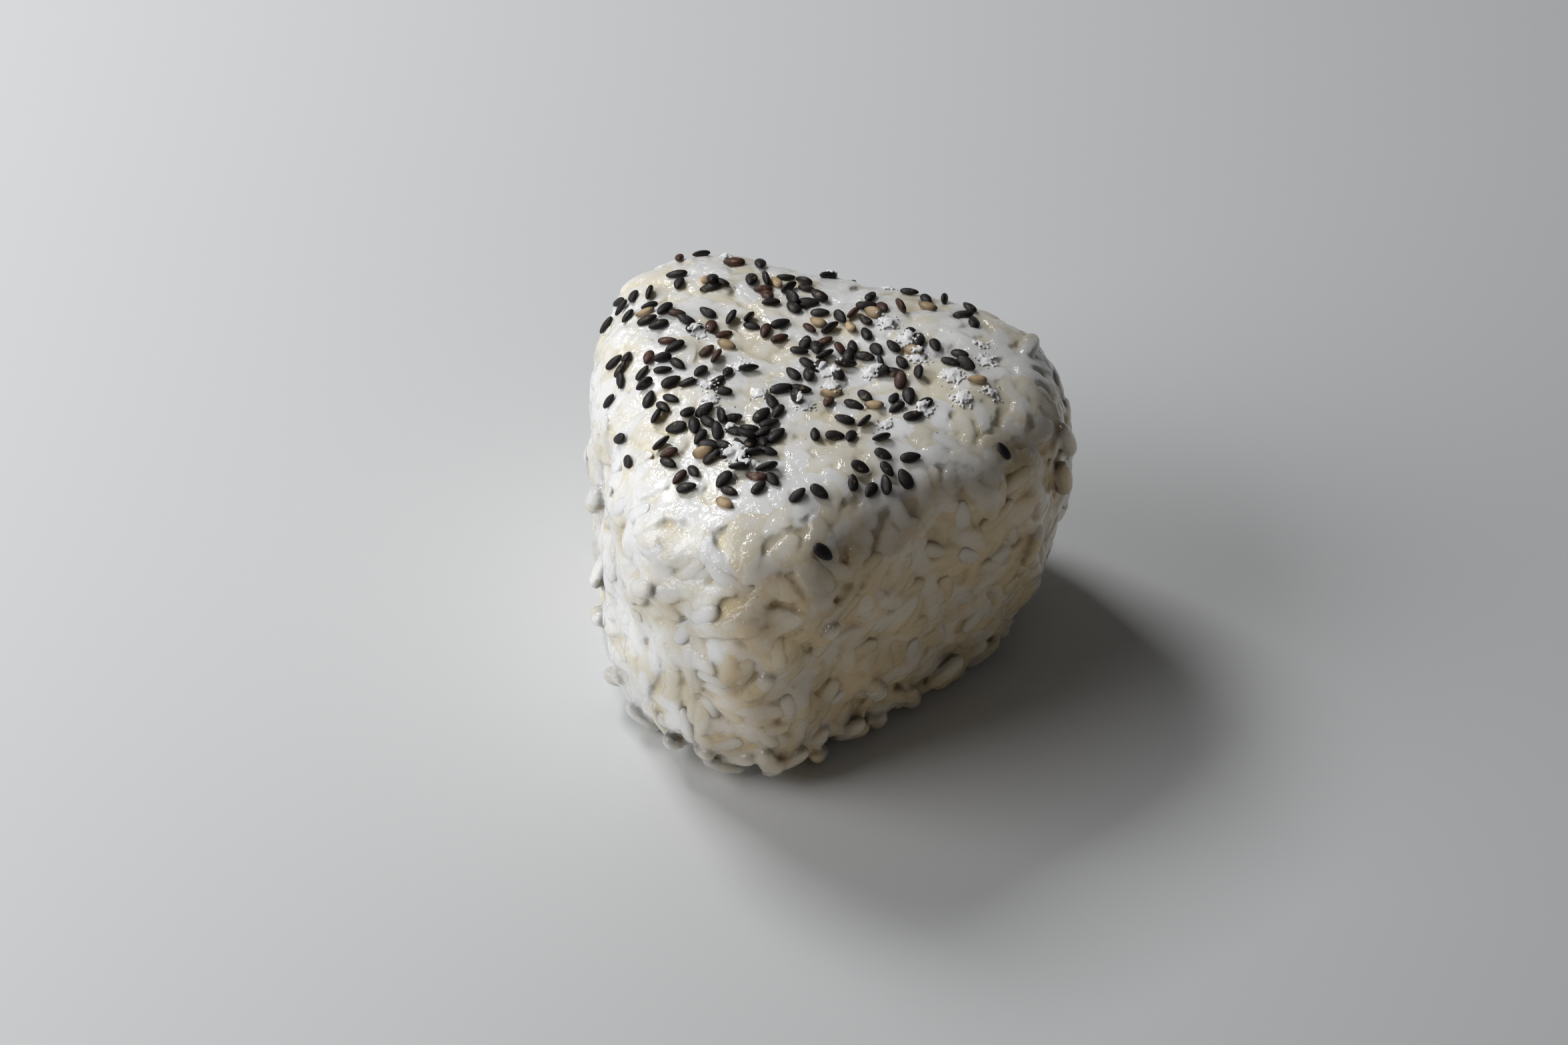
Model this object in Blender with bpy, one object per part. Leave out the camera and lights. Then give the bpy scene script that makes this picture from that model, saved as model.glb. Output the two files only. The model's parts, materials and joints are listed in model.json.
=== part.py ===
"""Onigiri: a hand-pressed triangular rice ball lying on one of its flat faces.

The ball is one solid of packed rice, out to the uneven surface that the grains make. Seen from
above it is a rounded triangle with a corner at -Y and a flat side at +Y. Units are metres, +Z is
up, and the origin is on the table under the middle of the ball's footprint.
"""

import math

import bmesh
import bpy
from mathutils import Vector, noise

MM = 0.001

# Driving dimensions of the pressed block, before the grains roughen it.
HEIGHT = 47.0 * MM           # the table to the crown of the upper face
WALL_BACK = 37.2 * MM        # the pressing axis to the +Y wall
WALL_LEFT = 24.3 * MM        # the pressing axis to the wall that faces -X and -Y
WALL_RIGHT = 32.1 * MM       # the pressing axis to the wall that faces +X and -Y
CORNER_SHARPNESS = 1.6       # 1 would be a circle-like blob; higher values sharpen the corners
SHOULDER_SHARPNESS = 4.0     # how squarely the walls turn into the upper and lower faces
FLARE = 0.09                 # how much wider the ball is at the top than at the table
LEAN = (0.018, 0.032)        # sideways drift of the upper face for each metre of height
BASE_CUT = 1.1 * MM          # how much of the rounded underside is pressed flat on the table

# The uneven outline: broad dents from the palms, and the lumps of single grains.
PALM_DENT = 1.6 * MM
PALM_SPACING = 26.0 * MM
GRAIN_LUMP = 1.7 * MM
GRAIN_SPACING = 6.5 * MM
PRESSED_LUMP_SHARE = 0.3     # the lumps left on the pressed upper face, as a share of the walls'
RIM_LUMP_SHARE = 1.5         # the lumps of the loose rim just above the table
RIM_HEIGHT = 9.0 * MM
NOISE_ORIGIN = Vector((8.2, 0.9, 1.0))

SPHERE_SUBDIVISIONS = 5      # 5120 triangles before the base is cut
WALL_ANGLES = {"back": 90.0, "left": 210.0, "right": 330.0}
WALL_DISTANCES = {"back": WALL_BACK, "left": WALL_LEFT, "right": WALL_RIGHT}

RICE_COLOUR = (0.80, 0.77, 0.70, 1.0)
RICE_ROUGHNESS = 0.42


def plan_reach(x, y):
    """One over the ball's radius in the direction (x, y) seen from above, for a unit direction."""
    total = 0.0
    for wall, degrees in WALL_ANGLES.items():
        angle = math.radians(degrees)
        toward_wall = x * math.cos(angle) + y * math.sin(angle)
        total += max(0.0, toward_wall / WALL_DISTANCES[wall]) ** CORNER_SHARPNESS
    return total ** (1.0 / CORNER_SHARPNESS)


def pressed_point(direction):
    """The smooth pressed block's surface in a direction from the block's middle."""
    across = plan_reach(direction.x, direction.y)
    along = abs(direction.z) / (HEIGHT / 2 + BASE_CUT / 2)
    sharpness = SHOULDER_SHARPNESS
    point = direction / (across ** sharpness + along ** sharpness) ** (1.0 / sharpness)
    level = point.z / HEIGHT
    point.x = point.x * (1.0 + FLARE * level) + LEAN[0] * point.z
    point.y = point.y * (1.0 + FLARE * level) + LEAN[1] * point.z
    point.z += (HEIGHT - BASE_CUT) / 2
    return point


def lump_share(point, normal):
    """How strongly single grains stand out here: least on the pressed top, most at the rim."""
    pressed = normal.z ** 2
    share = 1.0 + (PRESSED_LUMP_SHARE - 1.0) * pressed
    rim = max(0.0, 1.0 - abs(point.z - RIM_HEIGHT / 2) / RIM_HEIGHT)
    return share + (RIM_LUMP_SHARE - 1.0) * rim * (1.0 - pressed)


def uneven_height(point, normal):
    """How far the uneven surface stands proud of the smooth block; nothing on the underside."""
    dent = noise.noise(point / PALM_SPACING + NOISE_ORIGIN) * PALM_DENT
    lump = noise.noise(point / GRAIN_SPACING + NOISE_ORIGIN) * GRAIN_LUMP
    off_the_table = 1.0 - max(0.0, -normal.z) ** 2
    return (dent + lump * lump_share(point, normal)) * off_the_table


def shape_ball(mesh):
    """Press a sphere into the block, roughen it, and flatten it where it meets the table."""
    ball = bmesh.new()
    bmesh.ops.create_icosphere(ball, subdivisions=SPHERE_SUBDIVISIONS, radius=1.0)
    for vertex in ball.verts:
        vertex.co = pressed_point(vertex.co.normalized())
    ball.normal_update()
    heights = [uneven_height(vertex.co, vertex.normal) for vertex in ball.verts]
    for vertex, height in zip(ball.verts, heights):
        vertex.co += vertex.normal * height
    flatten_base(ball)
    stand_over_origin(ball)
    ball.to_mesh(mesh)
    ball.free()


def flatten_base(ball):
    """Cut the underside at the table and close it with one flat face."""
    everything = ball.verts[:] + ball.edges[:] + ball.faces[:]
    cut = bmesh.ops.bisect_plane(
        ball,
        geom=everything,
        dist=MM * 0.001,
        plane_co=(0.0, 0.0, 0.0),
        plane_no=(0.0, 0.0, -1.0),
        clear_outer=True,
    )
    rim = [item for item in cut["geom_cut"] if isinstance(item, bmesh.types.BMEdge)]
    for vertex in {vertex for edge in rim for vertex in edge.verts}:
        vertex.co.z = 0.0
    bmesh.ops.remove_doubles(ball, verts=ball.verts[:], dist=0.05 * MM)
    open_edges = [edge for edge in ball.edges if edge.is_boundary]
    bmesh.ops.contextual_create(ball, geom=open_edges)
    bmesh.ops.recalc_face_normals(ball, faces=ball.faces[:])


def stand_over_origin(ball):
    """Move the ball so that the middle of its footprint is over the origin."""
    xs = [vertex.co.x for vertex in ball.verts]
    ys = [vertex.co.y for vertex in ball.verts]
    middle = Vector(((min(xs) + max(xs)) / 2, (min(ys) + max(ys)) / 2, 0.0))
    bmesh.ops.translate(ball, verts=ball.verts[:], vec=-middle)


def rice_material():
    """Cooked short-grain rice: warm white and slightly moist."""
    material = bpy.data.materials.new("cooked_rice")
    material.use_nodes = True
    shader = material.node_tree.nodes["Principled BSDF"]
    shader.inputs["Base Color"].default_value = RICE_COLOUR
    shader.inputs["Roughness"].default_value = RICE_ROUGHNESS
    shader.inputs["Metallic"].default_value = 0.0
    return material


def main():
    for item in list(bpy.data.objects):
        bpy.data.objects.remove(item, do_unlink=True)
    collection = bpy.data.collections.new("onigiri")
    bpy.context.scene.collection.children.link(collection)
    mesh = bpy.data.meshes.new("rice_ball")
    shape_ball(mesh)
    mesh.shade_smooth()
    mesh.materials.append(rice_material())
    collection.objects.link(bpy.data.objects.new("rice_ball", mesh))


main()
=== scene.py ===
"""Onigiri: the look of a hand-pressed triangular rice ball with black sesame and coarse salt.

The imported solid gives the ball's outer form. This script lays layers of rice grains over a core
inside that form, presses them, melts them together as cooked rice sticks, and strews sesame seeds
and salt on top.
"""

import json
import math
import random

import bmesh
import bpy
from bpy.props import FloatProperty, FloatVectorProperty, IntProperty, PointerProperty
from bpy.types import Operator, Panel, PropertyGroup
from mathutils import Euler, Matrix, Vector, noise
from mathutils.bvhtree import BVHTree

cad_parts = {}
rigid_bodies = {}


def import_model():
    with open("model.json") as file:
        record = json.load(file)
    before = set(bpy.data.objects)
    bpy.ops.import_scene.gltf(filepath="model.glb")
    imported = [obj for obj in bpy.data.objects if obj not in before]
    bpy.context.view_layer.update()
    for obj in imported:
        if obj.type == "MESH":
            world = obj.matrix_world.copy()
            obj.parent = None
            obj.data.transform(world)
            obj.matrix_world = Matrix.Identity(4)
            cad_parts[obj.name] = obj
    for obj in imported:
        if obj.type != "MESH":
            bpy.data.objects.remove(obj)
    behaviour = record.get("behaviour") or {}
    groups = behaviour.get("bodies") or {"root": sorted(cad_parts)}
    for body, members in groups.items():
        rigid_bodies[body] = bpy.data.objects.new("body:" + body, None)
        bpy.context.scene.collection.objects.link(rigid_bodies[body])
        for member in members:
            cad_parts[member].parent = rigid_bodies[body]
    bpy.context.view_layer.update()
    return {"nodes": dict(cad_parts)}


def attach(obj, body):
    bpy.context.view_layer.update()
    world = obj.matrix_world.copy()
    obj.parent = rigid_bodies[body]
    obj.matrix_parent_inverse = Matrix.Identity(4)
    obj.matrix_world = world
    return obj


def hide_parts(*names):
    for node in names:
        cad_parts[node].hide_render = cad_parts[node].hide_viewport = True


bl_info = {
    "name": "Onigiri",
    "version": (1, 0, 0),
    "blender": (4, 5, 0),
    "location": "View3D > Sidebar > Onigiri",
    "description": "Builds a pressed rice ball with sesame seeds and salt",
    "category": "Add Mesh",
}

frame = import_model()

MM = 0.001
BODY = "root"
BALL_NODE = "rice_ball"

# The faces of the ball, as zones of the guide surface. The upper face and the underside are
# told by how far a normal points up; the walls by their bearing from +X in degrees.
TOP, BACK, LEFT, RIGHT, UNDER = range(5)
TOP_STEEPNESS = 0.62
UNDER_STEEPNESS = -0.72
WALL_OF_ANGLE = ((30.0, 150.0, BACK), (150.0, 270.0, LEFT))

# The sesame clusters seen from above, in millimetres: middle x, middle y, seeds, spread.
SEED_CLUSTERS = (
    (-30, 15, 5, 2.6), (-25, 19, 2, 2.2), (-27, 29, 2, 2.5), (-26, 11, 5, 2.2), (-20, 12, 5, 2.4),
    (-20, 20, 4, 1.3), (-19, 29, 2, 2.2), (-13, 23, 6, 2.4), (-8, 25, 5, 2.0), (-6, 19, 4, 3.0),
    (-13, 11, 3, 2.4), (-8, 13, 5, 2.0), (-4, 30, 2, 2.8), (0, 17, 8, 2.6), (5, 23, 5, 2.6),
    (9, 30, 4, 3.4), (17, 27, 3, 2.2), (6, 11, 10, 2.8), (0, 8, 6, 2.6), (14, 18, 5, 3.0),
    (21, 15, 4, 1.8), (13, 11, 5, 2.6), (-19, 0, 8, 2.4), (-13, 3, 3, 2.0), (-25, -2, 5, 2.6),
    (-18, -5, 3, 2.2), (-9, -2, 5, 3.0), (1, 0, 4, 1.8), (7, 0, 4, 2.2), (14, 1, 2, 2.4),
    (18, 4, 5, 1.8), (13, -4, 3, 2.0), (9, -8, 2, 1.6), (19, -7, 3, 2.6), (-15, -9, 4, 2.4),
    (-9, -13, 9, 2.6), (1, -7, 5, 2.6), (0, -13, 11, 2.2), (-4, -17, 4, 1.5), (-11, -20, 2, 1.4),
    (-6, -23, 3, 1.4), (0, -22, 3, 1.5), (4, -20, 4, 1.6), (12, -21, 2, 1.6), (20, -14, 4, 3.0),
)
# Single seeds that lie apart from the clusters, in millimetres: x, y.
STRAY_SEEDS = (
    (-17, -18), (-20, -14), (-21, -22), (1, -26), (16, -27), (32, 3), (-31, -1), (-33, 2),
    (22, -10),
)
# Salt heaps seen from above, in millimetres: x, y, crumbs, spread.
SALT_HEAPS = (
    (4, 6, 34, 1.5), (6, 3, 20, 1.3), (12, 17, 22, 1.6), (15, 14, 18, 1.4), (21, 12, 26, 1.6),
    (24, 8, 22, 1.6), (20, 3, 16, 1.4), (10, 8, 18, 1.4), (-1, -17, 34, 1.7), (2, -18, 16, 1.2),
    (4, -3, 20, 1.4), (-9, -7, 12, 1.5), (-17, 8, 14, 1.3), (-11, -4, 10, 1.6), (-3, -3, 10, 1.2),
    (-22, 31, 10, 0.9), (-6, 33, 16, 0.9), (3, 34, 12, 1.1), (8, 20, 12, 1.8), (24, 18, 12, 1.6),
    (16, -2, 10, 1.2), (-8, 2, 8, 1.2), (-4, -12, 8, 1.0), (27, 12, 10, 1.4), (22, 22, 10, 1.4),
)


# ---------------------------------------------------------------- properties


def length(name, description, millimetres):
    """A length property; its default is given in millimetres."""
    return FloatProperty(
        name=name, description=description, default=millimetres * MM, unit="LENGTH"
    )


class OnigiriSizes(PropertyGroup):
    """The sizes a maker would change."""

    grain_length: length("Grain length", "Length of a cooked grain", 7.2)
    grain_width: length("Grain width", "Width of a cooked grain", 3.1)
    grain_spacing: length("Grain spacing", "Least distance between the middles of two grains", 3.7)
    grain_sink: length(
        "Grain sink", "How deep a grain's middle lies under the pressed surface", 0.5
    )
    top_stand: length("Stand on top", "How far grains stand proud on the pressed upper face", 0.32)
    wall_stand: length("Stand on walls", "How far grains stand proud on the walls", 0.7)
    rim_stand: length("Stand at rim", "How far grains stand proud just above the table", 1.3)
    crinkle: length("Crinkle", "Depth of the fine wrinkles in the wet skin of the rice", 0.22)
    grain_tilt: FloatProperty(
        name="Grain tilt", description="How far a grain may tip out of the surface",
        default=math.radians(16), subtype="ANGLE",
    )
    seed_length: length("Seed length", "Length of a sesame seed", 3.15)
    seed_width: length("Seed width", "Width of a sesame seed", 1.8)
    seed_thickness: length("Seed thickness", "Thickness of a sesame seed", 1.05)
    salt_crystal: length("Salt crystal", "Mean size of a salt crystal", 0.25)
    scatter_seed: IntProperty(
        name="Scatter seed", description="Another value lays the grains differently", default=7,
    )


def colour(name, description, default):
    """A colour property, given as linear red, green and blue."""
    return FloatVectorProperty(
        name=name, description=description, subtype="COLOR", size=3, min=0.0, max=1.0,
        default=default,
    )


class OnigiriColours(PropertyGroup):
    """The colours a maker would change."""

    rice_white: colour("White rice", "Chalky part of a grain", (0.96, 0.955, 0.94))
    rice_clear: colour("Clear rice", "Glassy, translucent grain", (0.85, 0.79, 0.64))
    # Painted warm glow: a warmer, slightly darker tone for the rice between the grains, standing in
    # for light through the rice in the crevices.
    rice_painted_glow: colour("Deep rice", "Rice deep between the grains", (0.93, 0.80, 0.50))
    # Painted warm shade: a warmer, darker tone for the side of the ball away from the lamps.
    rice_painted_shade: colour("Amber rice", "Warm glow on one side of the ball", (0.88, 0.66, 0.36))
    seed_black: colour("Black seed", "Skin of a black seed", (0.0115, 0.009, 0.0085))
    seed_brown: colour("Brown seed", "Skin of a brown seed", (0.052, 0.022, 0.015))
    seed_pale: colour("Pale seed", "Skin of a hulled seed", (0.36, 0.26, 0.15))
    seed_worn: colour("Worn seed", "Where the skin is rubbed off", (0.30, 0.22, 0.13))
    salt: colour("Salt", "Salt crystals", (0.98, 0.98, 0.98))
    speck: colour("Speck", "Dark crumbs of seed skin", (0.05, 0.035, 0.03))
    floor: colour("Floor", "The pale floor", (0.72, 0.73, 0.74))


# ---------------------------------------------------------------- node helpers


# What the mesh carries only while it is built.
BUILDING_ATTRIBUTES = ("stand", "facing", "zone", "id", "turn", "size")


def enabled(sockets, name):
    """The socket of that name that the node's settings show."""
    return next(socket for socket in sockets if socket.name == name and socket.enabled)


def add_node(tree, kind, inputs=None, **settings):
    """Add a node, with settings, and fill its inputs with values or with links."""
    node = tree.nodes.new(kind)
    for key, value in settings.items():
        setattr(node, key, value)
    for key, value in (inputs or {}).items():
        socket = node.inputs[key] if isinstance(key, int) else enabled(node.inputs, key)
        if isinstance(value, bpy.types.NodeSocket):
            tree.links.new(value, socket)
        else:
            socket.default_value = value
    return node


def maths(tree, operation, first, second=0.0):
    node = add_node(tree, "ShaderNodeMath", {0: first, 1: second}, operation=operation)
    return node.outputs[0]


def vector_maths(tree, operation, first, second=None, scale=None):
    inputs = {0: first}
    if second is not None:
        inputs[1] = second
    if scale is not None:
        inputs["Scale"] = scale
    node = add_node(tree, "ShaderNodeVectorMath", inputs, operation=operation)
    return node.outputs["Value"] if operation == "DOT_PRODUCT" else node.outputs["Vector"]


def geometry_tree(name, sockets):
    """A Geometry Nodes tree with named inputs; returns the tree, its inputs and its output."""
    tree = bpy.data.node_groups.new(name, "GeometryNodeTree")
    interface = tree.interface
    interface.new_socket("Geometry", in_out="OUTPUT", socket_type="NodeSocketGeometry")
    interface.new_socket("Geometry", in_out="INPUT", socket_type="NodeSocketGeometry")
    for label, kind in sockets:
        interface.new_socket(label, in_out="INPUT", socket_type="NodeSocket" + kind)
    return tree, tree.nodes.new("NodeGroupInput").outputs, tree.nodes.new("NodeGroupOutput")


def named_attribute(tree, name, kind="FLOAT"):
    node = add_node(tree, "GeometryNodeInputNamedAttribute", {"Name": name}, data_type=kind)
    return enabled(node.outputs, "Attribute")


def random_value(tree, low, high, seed, kind="FLOAT"):
    node = add_node(
        tree, "FunctionNodeRandomValue", {"Min": low, "Max": high, "Seed": seed}, data_type=kind
    )
    return enabled(node.outputs, "Value")


def store(tree, geometry, name, value, kind="FLOAT", domain="POINT"):
    node = add_node(
        tree, "GeometryNodeStoreNamedAttribute",
        {"Geometry": geometry, "Name": name, "Value": value}, data_type=kind, domain=domain,
    )
    return node.outputs["Geometry"]


def run_tree(source, tree, values, name):
    """Run a tree on a copy of an object's mesh and return the result as a plain new object."""
    holder = bpy.data.objects.new(name, source.data)
    bpy.context.scene.collection.objects.link(holder)
    modifier = holder.modifiers.new("build", "NODES")
    modifier.node_group = tree
    identifiers = {
        item.name: item.identifier
        for item in tree.interface.items_tree
        if item.item_type == "SOCKET" and item.in_out == "INPUT"
    }
    for label, value in values.items():
        modifier[identifiers[label]] = value
    graph = bpy.context.evaluated_depsgraph_get()
    mesh = bpy.data.meshes.new_from_object(holder.evaluated_get(graph), depsgraph=graph)
    bpy.data.objects.remove(holder)
    mesh.name = name
    if "Material" in values:
        wear_only(mesh, values["Material"])
    return new_object(name, mesh)


def wear_only(mesh, material):
    """Leave a mesh with one material slot, and drop what only the building needed."""
    mesh.materials.clear()
    mesh.materials.append(material)
    mesh.polygons.foreach_set("material_index", [0] * len(mesh.polygons))
    for name in BUILDING_ATTRIBUTES:
        if name in mesh.attributes:
            mesh.attributes.remove(mesh.attributes[name])


def keep_piece(piece):
    """Hand a finished rice or topping piece to the frame."""
    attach(piece, BODY)


def new_object(name, mesh):
    made = bpy.data.objects.new(name, mesh)
    bpy.context.scene.collection.objects.link(made)
    return made


# ---------------------------------------------------------------- materials


def principled(name):
    """A new material; returns it with its tree and its shader."""
    material = bpy.data.materials.new(name)
    material.use_nodes = True
    tree = material.node_tree
    return material, tree, tree.nodes["Principled BSDF"]


def attribute(tree, name, output="Fac"):
    return add_node(tree, "ShaderNodeAttribute", attribute_name=name).outputs[output]


def cloud(tree, scale, detail=2.0, vector=None):
    """Soft noise over the object; scale is in waves for each metre."""
    place = vector or add_node(tree, "ShaderNodeTexCoord").outputs["Object"]
    return add_node(
        tree, "ShaderNodeTexNoise", {"Vector": place, "Scale": scale, "Detail": detail}
    ).outputs["Fac"]


def spread(tree, value, low, high, to_low=0.0, to_high=1.0):
    """Map a range of a value softly onto another range."""
    node = add_node(
        tree, "ShaderNodeMapRange",
        {"Value": value, "From Min": low, "From Max": high, "To Min": to_low, "To Max": to_high},
        interpolation_type="SMOOTHSTEP",
    )
    return node.outputs["Result"]


def blend(tree, share, first, second):
    """Mix two colours; each is a socket or a linear colour."""
    node = add_node(
        tree, "ShaderNodeMix",
        {0: share, 6: solid(first), 7: solid(second)}, data_type="RGBA",
    )
    return node.outputs[2]


def solid(value):
    if isinstance(value, bpy.types.NodeSocket):
        return value
    return (*value, 1.0)


def crinkled(tree, scale, strength, distance):
    """The normal of a skin that is wrinkled like wet film; scale is in waves for each metre."""
    place = add_node(tree, "ShaderNodeTexCoord").outputs["Object"]
    waves = add_node(
        tree, "ShaderNodeTexNoise",
        {"Vector": place, "Scale": scale, "Detail": 2.0, "Roughness": 0.6, "Distortion": 1.2},
    )
    bump = add_node(
        tree, "ShaderNodeBump",
        {"Height": waves.outputs["Fac"], "Strength": strength, "Distance": distance},
    )
    return bump.outputs["Normal"]


RICE_FINISH = "moist_rice"
# How far the shading follows the ball's outer form, as light spreads from grain to grain.
SOFTNESS = 0.8
# The side of the ball away from the lamps, where a warm shade is painted into the rice's colour.
PAINTED_SHADE_SIDE = (0.85, -0.49, -0.17)
# Noise sizes in waves for each metre, and the depths of the wrinkles in the skin.
PATCH_WAVES = 120.0
GLOSS_WAVES = 260.0
WRINKLE_WAVES = 620.0
GLOSS_WRINKLE = 0.34 * MM
SHADE_WRINKLE = 0.2 * MM
# From where to where rice turns glassy, takes the painted warm glow of the crevices, and takes the
# painted warm shade of the far side.
GLASSY_RANGE = (0.5, 1.15)
PAINTED_GLOW_RANGE = (0.85, 1.7)
PAINTED_SHADE_RANGE = (0.1, 0.95)
# The share of the painted warm shade that white grains take up.
PAINTED_SHADE_ON_WHITE = 0.58


def rice_colour(tree, colours):
    """White grains among glassy ones, a painted warm glow in the crevices between them, and a
    painted warm shade on the side away from the lamps.
    """
    patch = cloud(tree, PATCH_WAVES, 1.0)
    clear = maths(tree, "ADD", maths(tree, "MULTIPLY", attribute(tree, "tint"), 0.7), patch)
    clear = maths(tree, "SUBTRACT", clear, maths(tree, "MULTIPLY", attribute(tree, "crest"), 0.25))
    glassy = spread(tree, clear, *GLASSY_RANGE)
    rice = blend(tree, glassy, colours.rice_white, colours.rice_clear)
    # Painted warm glow: the deeper the rice lies between the grains, the warmer its colour, in
    # random patches.
    deep = maths(tree, "ADD", attribute(tree, "depth"), maths(tree, "MULTIPLY", patch, 1.6))
    rice = blend(tree, spread(tree, deep, *PAINTED_GLOW_RANGE), rice, colours.rice_painted_glow)
    # Painted warm shade on the side of the ball away from the lamps; white grains take less of it.
    facing = vector_maths(tree, "DOT_PRODUCT", attribute(tree, "outward", "Vector"), PAINTED_SHADE_SIDE)
    glow = spread(tree, facing, *PAINTED_SHADE_RANGE)
    glow = maths(tree, "MULTIPLY", glow, spread(tree, clear, 0.3, 1.0, PAINTED_SHADE_ON_WHITE, 1.0))
    return blend(tree, glow, rice, colours.rice_painted_shade)


def rice_material(colours):
    """Moist rice with softened shading under a crinkled, glossy film."""
    material, tree, shader = principled(RICE_FINISH)
    tree.links.new(rice_colour(tree, colours), shader.inputs["Base Color"])
    gloss = spread(tree, cloud(tree, GLOSS_WAVES), 0.35, 0.65, 0.3, 0.6)
    tree.links.new(gloss, shader.inputs["Roughness"])
    shader.inputs["Subsurface Weight"].default_value = 0.2
    shader.inputs["Subsurface Radius"].default_value = (1.0, 0.85, 0.6)
    shader.inputs["Subsurface Scale"].default_value = 3.0 * MM
    shader.inputs["Coat Weight"].default_value = 1.0
    shader.inputs["Coat Roughness"].default_value = 0.12
    film = crinkled(tree, WRINKLE_WAVES, 1.0, GLOSS_WRINKLE)
    tree.links.new(film, shader.inputs["Coat Normal"])
    outward = vector_maths(tree, "SCALE", attribute(tree, "outward", "Vector"), scale=SOFTNESS)
    skin = crinkled(tree, WRINKLE_WAVES, 0.7, SHADE_WRINKLE)
    own = vector_maths(tree, "SCALE", skin, scale=1.0 - SOFTNESS)
    soft = vector_maths(tree, "NORMALIZE", vector_maths(tree, "ADD", own, outward))
    tree.links.new(soft, shader.inputs["Normal"])
    return material


# Moves the noise from seed to seed, so that no two seeds are worn alike.
SEED_SHIFT = (37.0, 11.0, 5.0)
# From where to where a seed is rubbed bare, and gets darker away from its middle (millimetres).
WORN_RANGE = (0.56, 0.74)
DARK_END_RANGE = (0.7, 1.6)


def seed_material(name, skin, worn, colours):
    """Sesame skin, rubbed off in patches near the middle and darker at the ends."""
    material, tree, shader = principled(name)
    local = attribute(tree, "seed_place", "Vector")
    tint = attribute(tree, "tint")
    shift = vector_maths(tree, "SCALE", SEED_SHIFT, scale=tint)
    shifted = vector_maths(tree, "ADD", local, shift)
    away = add_node(tree, "ShaderNodeVectorMath", {0: local}, operation="LENGTH").outputs["Value"]
    rub = cloud(tree, 0.9, 1.0, shifted)
    rub = maths(tree, "SUBTRACT", rub, maths(tree, "MULTIPLY", away, 0.22))
    rub = maths(tree, "ADD", rub, maths(tree, "MULTIPLY", tint, worn))
    rub = spread(tree, rub, *WORN_RANGE, 0.0, 0.8)
    skin_tone = blend(tree, tint, skin, tuple(min(1.0, part * 1.9) for part in skin))
    base = blend(tree, rub, skin_tone, colours.seed_worn)
    base = blend(tree, spread(tree, away, *DARK_END_RANGE, 0.0, 0.7), base, colours.seed_black)
    tree.links.new(base, shader.inputs["Base Color"])
    gloss = spread(tree, cloud(tree, 1500.0), 0.3, 0.7, 0.42, 0.62)
    tree.links.new(gloss, shader.inputs["Roughness"])
    shader.inputs["Specular IOR Level"].default_value = 0.35
    bump = add_node(
        tree, "ShaderNodeBump",
        {"Height": cloud(tree, 3.5, 3.0, shifted), "Strength": 0.4, "Distance": 0.1 * MM},
    )
    tree.links.new(bump.outputs["Normal"], shader.inputs["Normal"])
    return material


# How far the shading of the salt turns straight up.
SALT_SOFTNESS = 0.6


def salt_material(colours):
    """Bright salt with softened shading, as light spreads between the crystals."""
    material, tree, shader = principled("coarse_salt")
    shade = tuple(part * 0.96 for part in colours.salt)
    tone = blend(tree, cloud(tree, 1500.0), colours.salt, shade)
    tree.links.new(tone, shader.inputs["Base Color"])
    gloss = spread(tree, cloud(tree, 2500.0), 0.3, 0.7, 0.3, 0.6)
    tree.links.new(gloss, shader.inputs["Roughness"])
    shader.inputs["Subsurface Weight"].default_value = 0.2
    shader.inputs["Subsurface Radius"].default_value = (1.0, 1.0, 1.0)
    shader.inputs["Subsurface Scale"].default_value = 1.0 * MM
    normal = add_node(tree, "ShaderNodeNewGeometry").outputs["Normal"]
    own = vector_maths(tree, "SCALE", normal, scale=1.0 - SALT_SOFTNESS)
    soft = vector_maths(tree, "ADD", own, (0.0, 0.0, SALT_SOFTNESS))
    soft = vector_maths(tree, "NORMALIZE", soft)
    tree.links.new(soft, shader.inputs["Normal"])
    return material


def floor_material(colours):
    material, tree, shader = principled("floor")
    shade = tuple(part * 0.97 for part in colours.floor)
    tone = blend(tree, cloud(tree, 6.0), colours.floor, shade)
    tree.links.new(tone, shader.inputs["Base Color"])
    shader.inputs["Roughness"].default_value = 0.6
    return material


# ---------------------------------------------------------------- the pressed surface


GUIDE_NAME = "pressed_surface"
GUIDE_VOXEL = 1.1 * MM
GUIDE_INSET = 0.55 * MM
# Grains stand out more towards the table, from this height down.
RIM_HEIGHT = 11.0 * MM


def evaluated_copy(item, name):
    graph = bpy.context.evaluated_depsgraph_get()
    mesh = bpy.data.meshes.new_from_object(item.evaluated_get(graph), depsgraph=graph)
    mesh.name = name
    return mesh


def welded_ball():
    """The CAD solid as one welded mesh."""
    mesh = frame["nodes"][BALL_NODE].data.copy()
    shell = bmesh.new()
    shell.from_mesh(mesh)
    bmesh.ops.remove_doubles(shell, verts=shell.verts[:], dist=0.01 * MM)
    shell.to_mesh(mesh)
    shell.free()
    return mesh


def face_zone(normal, middle):
    """Which face of the ball a patch belongs to."""
    if normal.z > TOP_STEEPNESS:
        return TOP
    if normal.z < UNDER_STEEPNESS:
        return UNDER
    angle = math.degrees(math.atan2(middle.y, middle.x)) % 360.0
    for start, end, zone in WALL_OF_ANGLE:
        if start <= angle < end:
            return zone
    return RIGHT


def stand_height(point, normal, sizes):
    """How far grains may stand proud of the guide surface at a point."""
    steep = 1.0 - max(0.0, normal.z) ** 1.5
    low = max(0.0, 1.0 - point.z / RIM_HEIGHT) * min(1.0, max(0.0, 1.0 + normal.z))
    height = sizes.top_stand + (sizes.wall_stand - sizes.top_stand) * steep
    height += (sizes.rim_stand - sizes.wall_stand) * low
    if normal.z < UNDER_STEEPNESS:
        height = sizes.top_stand
    return height


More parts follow.
